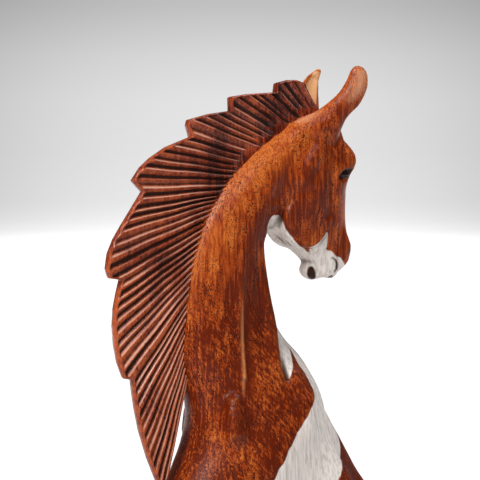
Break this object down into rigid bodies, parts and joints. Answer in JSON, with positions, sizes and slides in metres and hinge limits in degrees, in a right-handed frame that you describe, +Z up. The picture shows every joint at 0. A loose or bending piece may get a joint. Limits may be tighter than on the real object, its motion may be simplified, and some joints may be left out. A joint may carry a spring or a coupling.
{
  "type": "carved wooden rearing horse figurine",
  "caption": "Carved wooden pinto horse rearing on a moulded oval plinth, with a stepped fan mane and a felt underside.",
  "frame": {"origin": "centre of the felt's underside, on the surface that the figurine stands on", "axes": "+X the way the horse faces, +Y its left side, +Z up"},
  "size_m": [0.1618, 0.082, 0.342],
  "materials": {
    "stained_body": "reddish brown stain under gloss varnish, with cream painted patches",
    "stained_mane": "dark red-brown stain under gloss varnish, black in the grooves",
    "stained_plinth": "dark walnut stain, satin",
    "eye": "gloss black",
    "felt": "green wool felt",
    "screw_steel": "bright zinc",
    "dowel_wood": "bare beech"
  },
  "bodies": {
    "root": {"forehand": "stained_body", "hindquarters": "stained_body", "head": "stained_body", "mane": "stained_mane", "tail": "stained_mane", "left_foreleg": "stained_body", "right_foreleg": "stained_body", "left_hindleg": "stained_body", "right_hindleg": "stained_body", "left_ear": "stained_body", "right_ear": "stained_body", "left_eye": "eye", "right_eye": "eye", "plinth": "stained_plinth", "base_felt": "felt", "plinth_screws": "screw_steel", "body_dowels": "dowel_wood", "head_dowel": "dowel_wood", "foreleg_dowels": "dowel_wood", "hindleg_dowels": "dowel_wood", "tail_dowel": "dowel_wood", "mane_pegs": "dowel_wood", "ear_pegs": "dowel_wood"}
  },
  "joints": []
}
